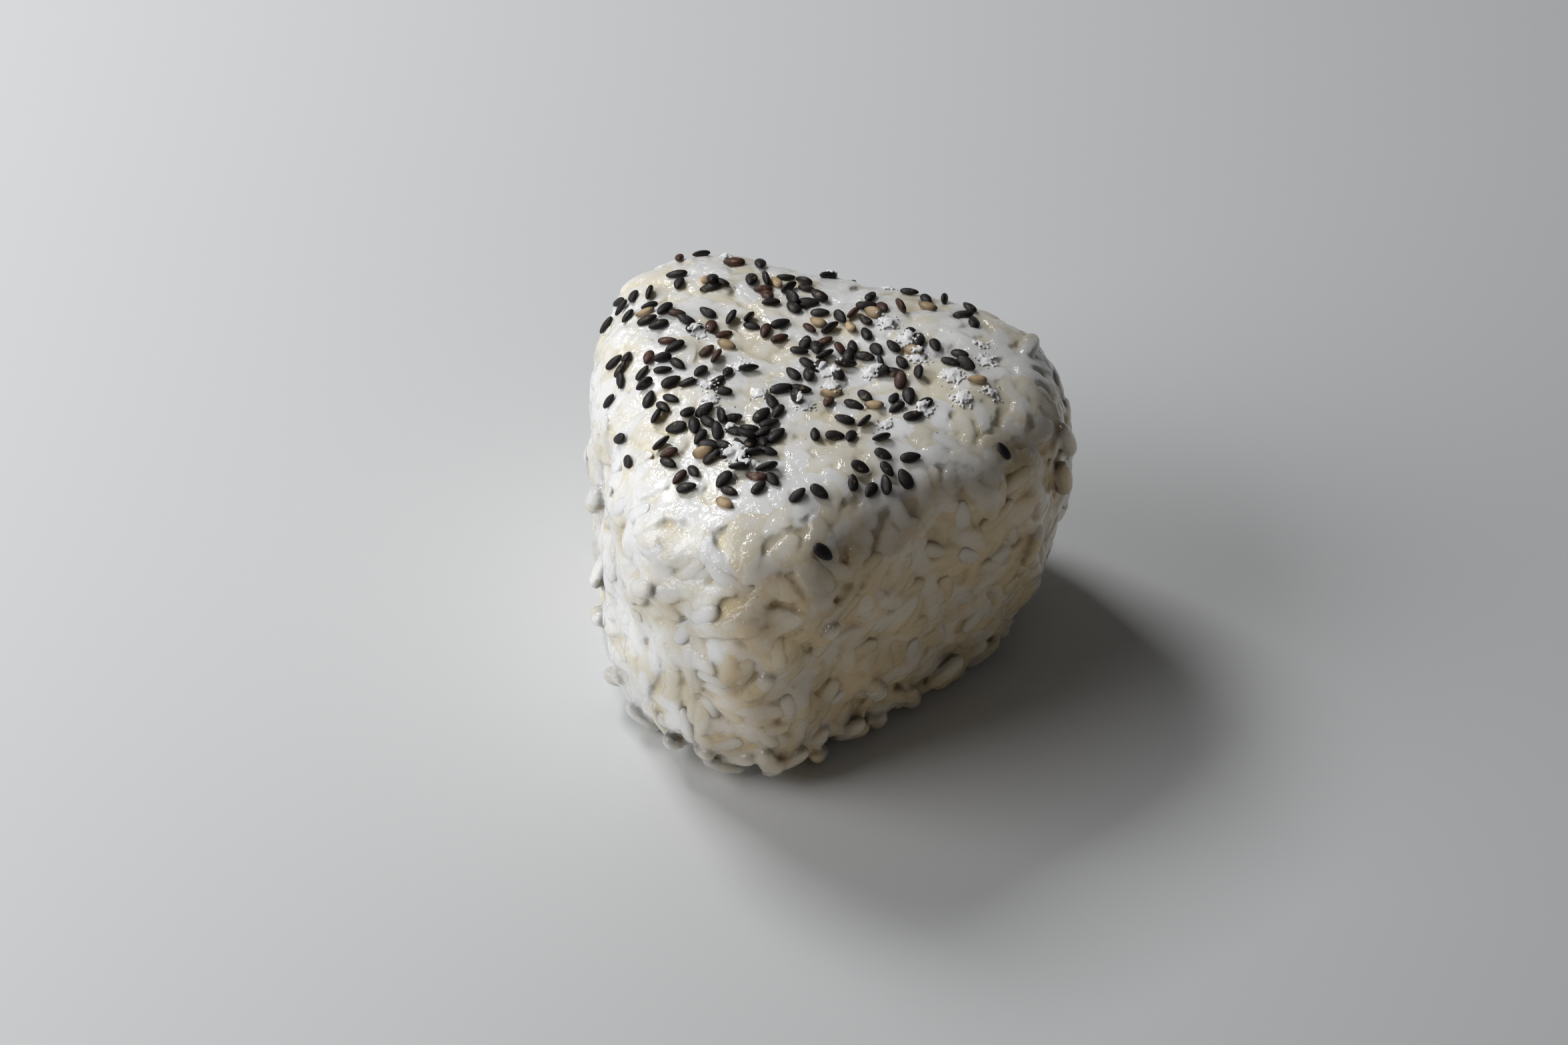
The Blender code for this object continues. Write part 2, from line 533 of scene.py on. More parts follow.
def pressed_surface(sizes):
    """The smooth guide that grains are laid on and pressed against, with what they read."""
    holder = new_object("guide_holder", welded_ball())
    remesh = holder.modifiers.new("even", "REMESH")
    remesh.mode = "VOXEL"
    remesh.voxel_size = GUIDE_VOXEL
    soften = holder.modifiers.new("soften", "SMOOTH")
    soften.iterations = 4
    mesh = evaluated_copy(holder, GUIDE_NAME)
    bpy.data.objects.remove(holder)
    normals = [vertex.normal.copy() for vertex in mesh.vertices]
    for vertex, normal in zip(mesh.vertices, normals):
        vertex.co -= normal * GUIDE_INSET
    stands = [
        stand_height(vertex.co, normal, sizes) for vertex, normal in zip(mesh.vertices, normals)
    ]
    write_attribute(mesh, "stand", "FLOAT", "POINT", stands)
    write_attribute(mesh, "facing", "FLOAT_VECTOR", "POINT", normals)
    zones = [face_zone(face.normal, face.center) for face in mesh.polygons]
    write_attribute(mesh, "zone", "INT", "FACE", zones)
    guide = new_object(GUIDE_NAME, mesh)
    guide.hide_render = True
    return guide


# ---------------------------------------------------------------- grains


GRAIN_SEGMENTS = 10
GRAIN_RINGS = 8
# length, width and thickness shares, bend, taper, and how far the germ end is nipped
GRAIN_FORMS = (
    (1.00, 1.00, 0.94, 0.05, 0.06, 0.10),
    (1.08, 0.92, 0.88, 0.10, -0.08, 0.16),
    (0.90, 1.06, 1.00, 0.03, 0.12, 0.05),
    (0.78, 0.96, 0.92, 0.08, 0.18, 0.20),
)
CANDIDATES_PER_SQUARE_METRE = 900000.0
# Neighbouring grains lie roughly alike: the direction drifts slowly, with some spin of its own.
LAY_WAVES_PER_METRE = 45.0
DRIFT_TURNS = 3.0
LOCAL_SPIN = 0.7


def grain_form(index, sizes):
    """One cooked grain lying along X: plump, a little bent, narrower at the germ end."""
    long_share, wide_share, thick_share, bend, taper, nip = GRAIN_FORMS[index]
    half = Vector((sizes.grain_length * long_share, sizes.grain_width * wide_share,
                   sizes.grain_width * thick_share)) / 2
    form = bmesh.new()
    bmesh.ops.create_uvsphere(
        form, u_segments=GRAIN_SEGMENTS, v_segments=GRAIN_RINGS, radius=1.0
    )
    for vertex in form.verts:
        along, side, up = vertex.co.z, vertex.co.x, vertex.co.y
        girth = 1.0 + taper * along
        circle = max(0.001, math.sqrt(1.0 - min(1.0, along * along)))
        girth *= 0.0 if abs(along) > 0.999 else (1.0 - abs(along) ** 2.6) ** 0.42 / circle
        nipped = nip * max(0.0, along) ** 4 * max(0.0, side)
        vertex.co = Vector((
            along * half.x - nipped * half.x,
            side * girth * half.y + bend * (along * along - 0.35) * half.x,
            up * girth * half.z,
        ))
    mesh = bpy.data.meshes.new(f"grain_form_{index}")
    form.to_mesh(mesh)
    form.free()
    return mesh


def grain_collection(sizes):
    """The grain forms, kept out of the render for the scatter to pick from."""
    collection = bpy.data.collections.new("grain_forms")
    bpy.context.scene.collection.children.link(collection)
    for index in range(len(GRAIN_FORMS)):
        made = bpy.data.objects.new(f"grain_form_{index}", grain_form(index, sizes))
        collection.objects.link(made)
    return collection


def height_over(tree, guide):
    """Each point's height over the guide, the outward direction there and the stand allowed."""
    place = add_node(tree, "GeometryNodeInputPosition").outputs["Position"]
    near = add_node(tree, "GeometryNodeProximity", {"Geometry": guide}, target_element="FACES")
    sampled = {}
    for name, kind in (("stand", "FLOAT"), ("facing", "FLOAT_VECTOR")):
        sample = add_node(
            tree, "GeometryNodeSampleNearestSurface",
            {"Mesh": guide, "Value": named_attribute(tree, name, kind), "Sample Position": place},
            data_type=kind,
        )
        sampled[name] = enabled(sample.outputs, "Value")
    outward = vector_maths(tree, "NORMALIZE", sampled["facing"])
    gap = vector_maths(tree, "SUBTRACT", place, near.outputs["Position"])
    return vector_maths(tree, "DOT_PRODUCT", gap, outward), outward, sampled["stand"]


def press_nodes(tree, geometry, guide, ease):
    """Press what stands too proud back towards the guide, and note how deep each point lies."""
    height, outward, stand = height_over(tree, guide)
    stand = maths(tree, "MULTIPLY", stand, ease)
    share = maths(tree, "DIVIDE", maths(tree, "MAXIMUM", height, 0.0), stand)
    fading = maths(tree, "POWER", math.e, maths(tree, "MULTIPLY", share, -1.0))
    pressed = maths(tree, "MULTIPLY", maths(tree, "SUBTRACT", 1.0, fading), stand)
    pressed = maths(tree, "ADD", pressed, maths(tree, "MINIMUM", height, 0.0))
    move = vector_maths(tree, "SCALE", outward, scale=maths(tree, "SUBTRACT", pressed, height))
    noted = store(tree, geometry, "depth", maths(tree, "MULTIPLY", pressed, -1.0 / MM))
    noted = store(tree, noted, "crest", maths(tree, "MULTIPLY", height, 1.0 / MM))
    noted = store(tree, noted, "outward", outward, "FLOAT_VECTOR")
    moved = add_node(tree, "GeometryNodeSetPosition", {"Geometry": noted, "Offset": move})
    return keep_above_table(tree, moved.outputs["Geometry"])


TABLE_GAP = 0.03 * MM


def keep_above_table(tree, geometry):
    place = add_node(tree, "GeometryNodeInputPosition").outputs["Position"]
    parts = add_node(tree, "ShaderNodeSeparateXYZ", {0: place}).outputs
    lifted = maths(tree, "MAXIMUM", parts["Z"], TABLE_GAP)
    joined = add_node(
        tree, "ShaderNodeCombineXYZ", {"X": parts["X"], "Y": parts["Y"], "Z": lifted}
    )
    moved = add_node(
        tree, "GeometryNodeSetPosition",
        {"Geometry": geometry, "Position": joined.outputs["Vector"]},
    )
    return moved.outputs["Geometry"]


def grain_tree():
    """Scatter grains over one zone of the guide, tangent to it, and press them."""
    tree, given, output = geometry_tree("lay_grains", (
        ("First Zone", "Int"), ("Last Zone", "Int"), ("Spacing", "Float"), ("Sink", "Float"),
        ("Sink Variation", "Float"), ("Tilt", "Float"), ("Stand", "Float"), ("Seed", "Int"),
        ("Forms", "Collection"), ("Material", "Material"),
    ))
    spots = add_node(
        tree, "GeometryNodeDistributePointsOnFaces",
        {"Mesh": given["Geometry"], "Distance Min": given["Spacing"],
         "Density Max": CANDIDATES_PER_SQUARE_METRE, "Seed": given["Seed"]},
        distribute_method="POISSON",
    )
    zone = named_attribute(tree, "zone", "INT")
    after = add_node(
        tree, "FunctionNodeCompare", {"A": zone, "B": given["First Zone"]},
        data_type="INT", operation="GREATER_EQUAL",
    )
    before = add_node(
        tree, "FunctionNodeCompare", {"A": zone, "B": given["Last Zone"]},
        data_type="INT", operation="LESS_EQUAL",
    )
    inside = add_node(
        tree, "FunctionNodeBooleanMath", {0: after.outputs["Result"], 1: before.outputs["Result"]},
        operation="AND",
    )
    chosen = add_node(
        tree, "GeometryNodeSeparateGeometry",
        {"Geometry": spots.outputs["Points"], "Selection": inside.outputs["Boolean"]},
        domain="POINT",
    )
    less = maths(tree, "MULTIPLY", given["Sink Variation"], -1.0)
    varied = random_value(tree, less, given["Sink Variation"], 11)
    sink = maths(tree, "ADD", given["Sink"], varied)
    inward = vector_maths(
        tree, "SCALE", spots.outputs["Normal"], scale=maths(tree, "MULTIPLY", sink, -1.0)
    )
    sunk = add_node(
        tree, "GeometryNodeSetPosition",
        {"Geometry": chosen.outputs["Selection"], "Offset": inward},
    )
    down = maths(tree, "MULTIPLY", given["Tilt"], -1.0)
    lean = add_node(
        tree, "ShaderNodeTexNoise",
        {"Vector": add_node(tree, "GeometryNodeInputPosition").outputs["Position"],
         "Scale": LAY_WAVES_PER_METRE, "Detail": 0.0},
    )
    drift = maths(tree, "MULTIPLY", lean.outputs["Fac"], DRIFT_TURNS * math.tau)
    angles = add_node(
        tree, "ShaderNodeCombineXYZ",
        {"X": random_value(tree, down, given["Tilt"], 1),
         "Y": random_value(tree, down, given["Tilt"], 2),
         "Z": maths(tree, "ADD", drift, random_value(tree, -LOCAL_SPIN, LOCAL_SPIN, 3))},
    )
    turn = add_node(tree, "FunctionNodeEulerToRotation", {0: angles.outputs["Vector"]})
    lying = add_node(
        tree, "FunctionNodeRotateRotation",
        {"Rotation": spots.outputs["Rotation"], "Rotate By": turn.outputs["Rotation"]},
        rotation_space="LOCAL",
    )
    forms = add_node(
        tree, "GeometryNodeCollectionInfo",
        {"Collection": given["Forms"], "Separate Children": True, "Reset Children": True},
    )
    size = add_node(
        tree, "ShaderNodeCombineXYZ",
        {"X": random_value(tree, 0.86, 1.1, 4), "Y": random_value(tree, 0.88, 1.1, 5), "Z": 1.0},
    )
    grains = add_node(
        tree, "GeometryNodeInstanceOnPoints",
        {"Points": sunk.outputs["Geometry"], "Instance": forms.outputs["Instances"],
         "Pick Instance": True, "Rotation": lying.outputs["Rotation"],
         "Instance Index": random_value(tree, 0, len(GRAIN_FORMS) - 1, 6, "INT"),
         "Scale": size.outputs["Vector"]},
    )
    tinted = store(
        tree, grains.outputs["Instances"], "tint", random_value(tree, 0.0, 1.0, 8),
        domain="INSTANCE",
    )
    real = add_node(tree, "GeometryNodeRealizeInstances", {"Geometry": tinted})
    pressed = press_nodes(tree, real.outputs["Geometry"], given["Geometry"], given["Stand"])
    finish_tree(tree, pressed, given["Material"], output)
    return tree


def finish_tree(tree, geometry, material, output):
    smooth = add_node(tree, "GeometryNodeSetShadeSmooth", {"Geometry": geometry})
    coated = add_node(
        tree, "GeometryNodeSetMaterial",
        {"Geometry": smooth.outputs["Geometry"], "Material": material},
    )
    tree.links.new(coated.outputs["Geometry"], output.inputs["Geometry"])


GRAIN_PIECES = (
    ("wall_grains_back", BACK), ("wall_grains_left", LEFT), ("wall_grains_right", RIGHT),
)
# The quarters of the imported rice: name, side in X, side in Y.
QUARTERS = (
    ("packed_rice_front_left", -1, -1), ("packed_rice_front_right", 1, -1),
    ("packed_rice_back_left", -1, 1), ("packed_rice_back_right", 1, 1),
)
RICE_PIECES = tuple(name for name, *_ in (*QUARTERS, *GRAIN_PIECES))
# Layers of grains: spacing, sink and its variation in millimetres, how freely they stand, seed.
LOWER_GRAINS = (3.2, 1.05, 0.3, 1.0, 14)
STANDING_GRAINS = (5.6, 0.2, 0.3, 1.6, 3)
WALL_GRAINS = (6.0, 0.45, 0.35, 1.5, 3)
UPPER_VARIATION = 0.4


def lay_grains(tree, name, first_zone, last_zone, layer, sizes):
    """Scatter one layer of grains over a run of zones."""
    spacing, sink, variation, ease, seed = layer
    return run_tree(bpy.data.objects[GUIDE_NAME], tree, {
        "First Zone": first_zone, "Last Zone": last_zone, "Spacing": spacing * MM,
        "Sink": sink * MM, "Sink Variation": variation * MM, "Tilt": sizes.grain_tilt,
        "Stand": ease, "Seed": sizes.scatter_seed + seed,
        "Forms": bpy.data.collections["grain_forms"],
        "Material": bpy.data.materials[RICE_FINISH],
    }, name)


# ---------------------------------------------------------------- rim and loose grains


RIM_GRAINS = 120
# Grains that stand out from the ball: bearing from +X in degrees, height and stand in
# millimetres, and how far the grain turns from lying level, in degrees.
LOOSE_GRAINS = (
    (24, 36, 1.0, -70), (19, 32, 1.5, -80), (8, 25, 1.0, 50), (196, 24, 1.0, 60),
    (205, 14, 1.2, -35), (214, 9, 1.3, 30), (300, 30, 0.6, 70), (285, 22, 0.7, 55),
    (318, 12, 0.9, -60), (330, 7, 1.1, -50), (256, 33, 0.6, 35), (45, 42, 0.3, -30),
    (322, 4, 2.2, -75), (311, 4, 1.6, 65), (299, 4, 1.9, -50), (288, 5, 1.5, 80),
    (336, 5, 1.6, -65), (347, 7, 1.4, 50), (276, 4, 1.7, -40), (262, 5, 1.5, 70),
    (248, 4, 1.6, -60), (233, 5, 1.4, 55),
)


def wall_spot(tree, bearing, height):
    """The point of the ball's wall at a bearing (radians from +X) and height, and its normal."""
    toward = Vector((math.cos(bearing), math.sin(bearing), 0.0))
    start = toward * SKY + Vector((0.0, 0.0, height))
    place, normal, _, _ = tree.ray_cast(start, -toward)
    return place, normal


def stuck_grain(tree, form, bearing, height, stand, lean, rng):
    """A grain stuck on the wall, leaning by an angle from level; it never reaches the table."""
    place, normal = wall_spot(tree, bearing, height)
    if place is None:
        return None
    level = Vector((0.0, 0.0, 1.0)).cross(normal).normalized()
    up = normal.cross(level)
    along = level * math.cos(lean) + up * math.sin(lean) + normal * rng.uniform(-0.15, 0.3)
    along.normalize()
    outer = (normal - along * normal.dot(along)).normalized()
    turn = Matrix((along, outer.cross(along), outer)).transposed()
    size = Vector([rng.uniform(0.88, 1.08) for _ in range(3)])
    place = place + normal * stand
    lowest = min((place + turn @ (point * size)).z for point in form)
    place.z += max(0.0, 0.1 * MM - lowest)
    return {"place": place, "turn": turn, "size": size, "tint": rng.uniform(0.0, 0.5)}


def rim_marks(sizes, tree, form):
    """Grains around the lower edge, hanging and splayed, then the few that stand out."""
    rng = random.Random(sizes.scatter_seed + 4)
    marks = []
    for index in range(RIM_GRAINS):
        bearing = (index + rng.uniform(-0.8, 0.8)) / RIM_GRAINS * math.tau
        lean = rng.choice((-1.0, 1.0)) * rng.uniform(0.3, 1.5)
        height = rng.uniform(1.6, 6.5) * MM
        stand = rng.uniform(-0.3, 1.4) * MM
        marks.append(stuck_grain(tree, form, bearing, height, stand, lean, rng))
    for bearing, height, stand, lean in LOOSE_GRAINS:
        marks.append(stuck_grain(
            tree, form, math.radians(bearing), height * MM, stand * MM, math.radians(lean), rng
        ))
    return [mark for mark in marks if mark]


# ---------------------------------------------------------------- core


CORE_TOP_INSET = 0.25 * MM
CORE_WALL_INSET = 0.55 * MM
CORE_RELIEF = 0.5 * MM
CORE_WAVE = 3.4 * MM


def core_mesh(guide):
    """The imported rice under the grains: nearly flush on the pressed top, deeper on the walls."""
    mesh = guide.data.copy()
    mesh.name = "core"
    normals = [vertex.normal.copy() for vertex in mesh.vertices]
    for vertex, normal in zip(mesh.vertices, normals):
        flat = abs(normal.z) ** 2
        inset = CORE_WALL_INSET + (CORE_TOP_INSET - CORE_WALL_INSET) * flat
        relief = noise.noise(vertex.co / CORE_WAVE) * CORE_RELIEF * (1.0 - 0.6 * flat)
        vertex.co -= normal * (inset - relief)
    return mesh


CRINKLES_PER_METRE = 800.0
FUSE_VOXEL = 0.285 * MM
SOFTEN_ROUNDS = 3


def fuse_tree(layers):
    """Join the layers of grains with the core."""
    tree, given, output = geometry_tree("join_layers", [(layer, "Object") for layer in layers])
    joined = add_node(tree, "GeometryNodeJoinGeometry")
    tree.links.new(given["Geometry"], joined.inputs["Geometry"])
    for layer in layers:
        info = add_node(tree, "GeometryNodeObjectInfo", {"Object": given[layer]})
        tree.links.new(info.outputs["Geometry"], joined.inputs["Geometry"])
    tree.links.new(joined.outputs["Geometry"], output.inputs["Geometry"])
    return tree


def largest_island(mesh):
    """Delete every shell but the largest, such as gaps that are closed in between grains."""
    shell = bmesh.new()
    shell.from_mesh(mesh)
    shell.verts.ensure_lookup_table()
    owner = [-1] * len(shell.verts)
    sizes = []
    for seed in shell.verts:
        if owner[seed.index] >= 0:
            continue
        label = len(sizes)
        owner[seed.index] = label
        front = [seed]
        count = 0
        while front:
            vertex = front.pop()
            count += 1
            for edge in vertex.link_edges:
                other = edge.other_vert(vertex)
                if owner[other.index] < 0:
                    owner[other.index] = label
                    front.append(other)
        sizes.append(count)
    keep = sizes.index(max(sizes))
    stray = [vertex for vertex in shell.verts if owner[vertex.index] != keep]
    bmesh.ops.delete(shell, geom=stray, context="VERTS")
    shell.to_mesh(mesh)
    shell.free()


def fused_mesh(core, layers):
    """Cooked grains stick together: melt the layers and the core into one skin."""
    joined = run_tree(core, fuse_tree(list(layers)), layers, "joined_layers")
    melt = joined.modifiers.new("melt", "REMESH")
    melt.mode = "VOXEL"
    melt.voxel_size = FUSE_VOXEL
    soften = joined.modifiers.new("soften", "SMOOTH")
    soften.iterations = SOFTEN_ROUNDS
    mesh = evaluated_copy(joined, "melted_rice")
    bpy.data.objects.remove(joined)
    largest_island(mesh)
    return mesh


def quarter(whole, name, x_side, y_side):
    """One closed quarter of a mesh, cut by the upright planes through the ball's middle."""
    part = bmesh.new()
    part.from_mesh(whole)
    for normal in (Vector((x_side, 0.0, 0.0)), Vector((0.0, y_side, 0.0))):
        cut = bmesh.ops.bisect_plane(
            part, geom=part.verts[:] + part.edges[:] + part.faces[:], dist=0.0,
            plane_co=(0.0, 0.0, 0.0), plane_no=normal, clear_inner=True,
        )
        rim = [item for item in cut["geom_cut"] if isinstance(item, bmesh.types.BMEdge)]
        bmesh.ops.triangle_fill(part, edges=rim, use_beauty=True, use_dissolve=False)
    bmesh.ops.recalc_face_normals(part, faces=part.faces[:])
    for face in part.faces:
        face.smooth = True
    mesh = bpy.data.meshes.new(name)
    part.to_mesh(mesh)
    part.free()
    normals = read_vectors(mesh, "skin_normal")
    mesh.normals_split_custom_set_from_vertices(normals)
    mesh.attributes.remove(mesh.attributes["skin_normal"])
    wear_only(mesh, bpy.data.materials[RICE_FINISH])
    return mesh


def read_vectors(mesh, name):
    layer = mesh.attributes[name].data
    flat = [0.0] * (3 * len(layer))
    layer.foreach_get("vector", flat)
    return [Vector(flat[start:start + 3]).normalized() for start in range(0, len(flat), 3)]


def note_tree():
    """Read each point's grain tint and crest, and how deep it lies under the pressed surface."""
    tree, given, output = geometry_tree(
        "note_grains",
        (("Grains", "Object"), ("Guide", "Object"), ("Crinkle", "Float"), ("Material", "Material")),
    )
    place = add_node(tree, "GeometryNodeInputPosition").outputs["Position"]
    grains = add_node(tree, "GeometryNodeObjectInfo", {"Object": given["Grains"]})
    noted = given["Geometry"]
    for name in ("tint", "crest"):
        sample = add_node(
            tree, "GeometryNodeSampleNearestSurface",
            {"Mesh": grains.outputs["Geometry"], "Value": named_attribute(tree, name),
             "Sample Position": place},
        )
        noted = store(tree, noted, name, enabled(sample.outputs, "Value"))
    guide = add_node(tree, "GeometryNodeObjectInfo", {"Object": given["Guide"]})
    height, outward, _ = height_over(tree, guide.outputs["Geometry"])
    noted = store(tree, noted, "depth", maths(tree, "MULTIPLY", height, -1.0 / MM))
    noted = store(tree, noted, "outward", outward, "FLOAT_VECTOR")
    waves = add_node(
        tree, "ShaderNodeTexNoise",
        {"Vector": place, "Scale": CRINKLES_PER_METRE, "Detail": 2.0, "Distortion": 1.0},
    )
    lift = maths(tree, "SUBTRACT", waves.outputs["Fac"], 0.5)
    lift = maths(tree, "MULTIPLY", lift, given["Crinkle"])
    normal = add_node(tree, "GeometryNodeInputNormal").outputs["Normal"]
    wrinkled = add_node(
        tree, "GeometryNodeSetPosition",
        {"Geometry": noted, "Offset": vector_maths(tree, "SCALE", normal, scale=lift)},
    )
    above = keep_above_table(tree, wrinkled.outputs["Geometry"])
    finish_tree(tree, above, given["Material"], output)
    return tree


# ---------------------------------------------------------------- copies at marked places


def copies_tree(name):
    """Put a form on each marked point, with the point's own turn, size and tint."""
    tree, given, output = geometry_tree(name, (("Form", "Object"), ("Material", "Material")))
    form = add_node(tree, "GeometryNodeObjectInfo", {"Object": given["Form"]})
    turn = add_node(
        tree, "FunctionNodeEulerToRotation", {0: named_attribute(tree, "turn", "FLOAT_VECTOR")}
    )
    copies = add_node(
        tree, "GeometryNodeInstanceOnPoints",
        {"Points": given["Geometry"], "Instance": form.outputs["Geometry"],
         "Rotation": turn.outputs["Rotation"],
         "Scale": named_attribute(tree, "size", "FLOAT_VECTOR")},
    )
    real = add_node(
        tree, "GeometryNodeRealizeInstances", {"Geometry": copies.outputs["Instances"]}
    )
    finish_tree(tree, real.outputs["Geometry"], given["Material"], output)
    return tree


def write_attribute(mesh, name, kind, domain, values):
    """Store one value for each point or face; vectors are given one after the other."""
    layer = mesh.attributes.new(name, kind, domain)
    if kind == "FLOAT_VECTOR":
        layer.data.foreach_set("vector", [part for value in values for part in value])
    else:
        layer.data.foreach_set("value", list(values))


def marked_points(name, marks):
    """A cloud of points; each mark is a place, a rotation matrix, a size and a tint."""
    mesh = bpy.data.meshes.new(name)
    mesh.from_pydata([mark["place"] for mark in marks], [], [])
    turns = [mark["turn"].to_euler() for mark in marks]
    write_attribute(mesh, "turn", "FLOAT_VECTOR", "POINT", turns)
    write_attribute(mesh, "size", "FLOAT_VECTOR", "POINT", [mark["size"] for mark in marks])
    write_attribute(mesh, "tint", "FLOAT", "POINT", [mark["tint"] for mark in marks])
    return new_object(name, mesh)


def copies(name, marks, form_mesh, material):
    """One object made of copies of a form, one for each mark."""
    form = new_object(name + "_form", form_mesh)
    points = marked_points(name + "_marks", marks)
    made = run_tree(points, copies_tree(name), {"Form": form, "Material": material}, name)
    for helper in (form, points):
        bpy.data.objects.remove(helper)
    return made


def rim_layer(sizes):
    """The grains of the lower edge and the loose ones, as a layer to be melted in."""
    form = grain_form(0, sizes)
    outline = [vertex.co.copy() for vertex in form.vertices]
    marks = rim_marks(sizes, surface_tree([GUIDE_NAME]), outline)
    return copies("rim_grains", marks, form, bpy.data.materials[RICE_FINISH])


def surface_tree(names):
    """A search tree over finished pieces, to lay things on them."""
    vertices, faces = [], []
    for name in names:
        mesh = bpy.data.objects[name].data
        start = len(vertices)
        vertices.extend(vertex.co.copy() for vertex in mesh.vertices)
        faces.extend([start + index for index in face.vertices] for face in mesh.polygons)
    return BVHTree.FromPolygons(vertices, faces)


SKY = 80.0 * MM


def drop(trees, x, y):
    """The height of the highest surface under a point of the sky, or None."""
    heights = []
    for tree in trees:
        hit = tree.ray_cast(Vector((x, y, SKY)), Vector((0.0, 0.0, -1.0)))[0]
        if hit is not None:
            heights.append(hit.z)
    return max(heights) if heights else None


# ---------------------------------------------------------------- seeds


SEED_SEGMENTS = 10
SEED_RINGS = 8
# Seeds of a cluster keep this gap, in millimetres, if a place is found in so many tries.
SEED_GAP = 2.0
SEED_TRIES = 14
# A seed rests on this share of its length, width and thickness.
SEED_FOOT = 0.36
SEED_ON_EDGE_SHARE = 0.2
SEED_EDGE_LIFT = 0.3 * MM
SEED_BROWN_SHARE = 0.14
SEED_PALE_SHARE = 0.06


def seed_form(sizes, name="seed_form"):
    """A sesame seed lying along X: a flat teardrop with a soft rim."""
    form = bmesh.new()
    bmesh.ops.create_uvsphere(form, u_segments=SEED_SEGMENTS, v_segments=SEED_RINGS, radius=1.0)
    half = Vector((sizes.seed_length, sizes.seed_width, sizes.seed_thickness)) / 2
    for vertex in form.verts:
        along, side, up = vertex.co.z, vertex.co.x, vertex.co.y
        round_end = max(0.3, 1.0 - along * along) ** -0.16
        narrow_end = 1.0 - 0.42 * max(0.0, along) ** 1.3
        vertex.co = Vector((
            along * half.x,
            side * round_end * narrow_end * half.y,
            up * round_end * (1.0 - 0.2 * max(0.0, along)) * half.z,
        ))
    mesh = bpy.data.meshes.new(name)
    form.to_mesh(mesh)
    form.free()
    places = [vertex.co / MM for vertex in mesh.vertices]
    write_attribute(mesh, "seed_place", "FLOAT_VECTOR", "POINT", places)
    return mesh


def seed_spots(rng):
    """Where seeds fall, in millimetres: cluster by cluster, mostly side by side, then the strays."""
    taken = [Vector(spot) for spot in STRAY_SEEDS]
    for x, y, count, width in SEED_CLUSTERS:
        for _ in range(count):
            best, best_gap = None, -1.0
            for _ in range(SEED_TRIES):
                spot = Vector((rng.gauss(x, width * 0.7), rng.gauss(y, width * 0.7)))
                gap = min((spot - other).length for other in taken)
                if gap > best_gap:
                    best, best_gap = spot, gap
                if gap > SEED_GAP:
                    break
            taken.append(best)
    return taken


def lay_flat(trees, x, y, spin, reach, lift):
    """Lay a flat thing on what is below it: its place and its rotation, or None."""
    along = Vector((math.cos(spin), math.sin(spin), 0.0)) * reach[0]
    across = Vector((-math.sin(spin), math.cos(spin), 0.0)) * reach[1]
    feet = []
    for offset in (along, -along, across, -across):
        height = drop(trees, x + offset.x, y + offset.y)
        if height is None:
            return None
        feet.append(Vector((x + offset.x, y + offset.y, height)))
    middle = drop(trees, x, y)
    if middle is None:
        return None
    front, back, left, right = feet
    forward = (front - back).normalized()
    normal = forward.cross(left - right).normalized()
    turn = Matrix((forward, normal.cross(forward), normal)).transposed()
    mean = sum(foot.z for foot in feet) / len(feet)
    place = Vector((x, y, max(middle, mean))) + normal * lift
    return place, turn


def laid_seeds(sizes, rice):
    """Drop the seeds one by one, each on the rice or on the seeds below it."""
    rng = random.Random(sizes.scatter_seed)
    form = seed_form(sizes, "seed_probe")
    outline = [vertex.co.copy() for vertex in form.vertices]
    faces = [list(face.vertices) for face in form.polygons]
    marks, vertices, polygons = [], [], []
    for spot in seed_spots(rng):
        x, y = spot * MM
        trees = [rice]
        if polygons:
            trees.append(BVHTree.FromPolygons(vertices, polygons))
        scale = rng.uniform(0.88, 1.1)
        reach = (sizes.seed_length * SEED_FOOT, sizes.seed_width * SEED_FOOT)
        lift = sizes.seed_thickness * SEED_FOOT
        laid = lay_flat(trees, x, y, rng.uniform(0.0, math.tau), reach, lift)
        if laid is None:
            continue
        place, turn = laid
        if rng.random() < SEED_ON_EDGE_SHARE:
            roll = rng.choice((-1.0, 1.0)) * rng.uniform(0.8, 1.3)
            turn = turn @ Matrix.Rotation(roll, 3, "X")
            place = place + Vector((0.0, 0.0, SEED_EDGE_LIFT))
        kind = rng.random()
        marks.append({
            "place": place, "turn": turn, "tint": rng.random(), "kind": kind,
            "size": Vector((scale, scale * rng.uniform(0.9, 1.08), scale)),
        })
        start = len(vertices)
        vertices.extend(place + turn @ (point * scale) for point in outline)
        polygons.extend([start + index for index in face] for face in faces)
    bpy.data.meshes.remove(form)
    return marks


# ---------------------------------------------------------------- salt


def crystal_form(sizes):
    """A salt crystal: a small cube, its size varied by each copy."""
    form = bmesh.new()
    bmesh.ops.create_cube(form, size=sizes.salt_crystal)
    mesh = bpy.data.meshes.new("salt_form")
    form.to_mesh(mesh)
    form.free()
    return mesh


CRYSTALS_PER_CRUMB = 16
SALT_VOXEL = 0.12 * MM
# A heap's width as a share of its spread, and its height in crystals.
HEAP_WIDTH = 0.48
HEAP_HEIGHT = 1.8


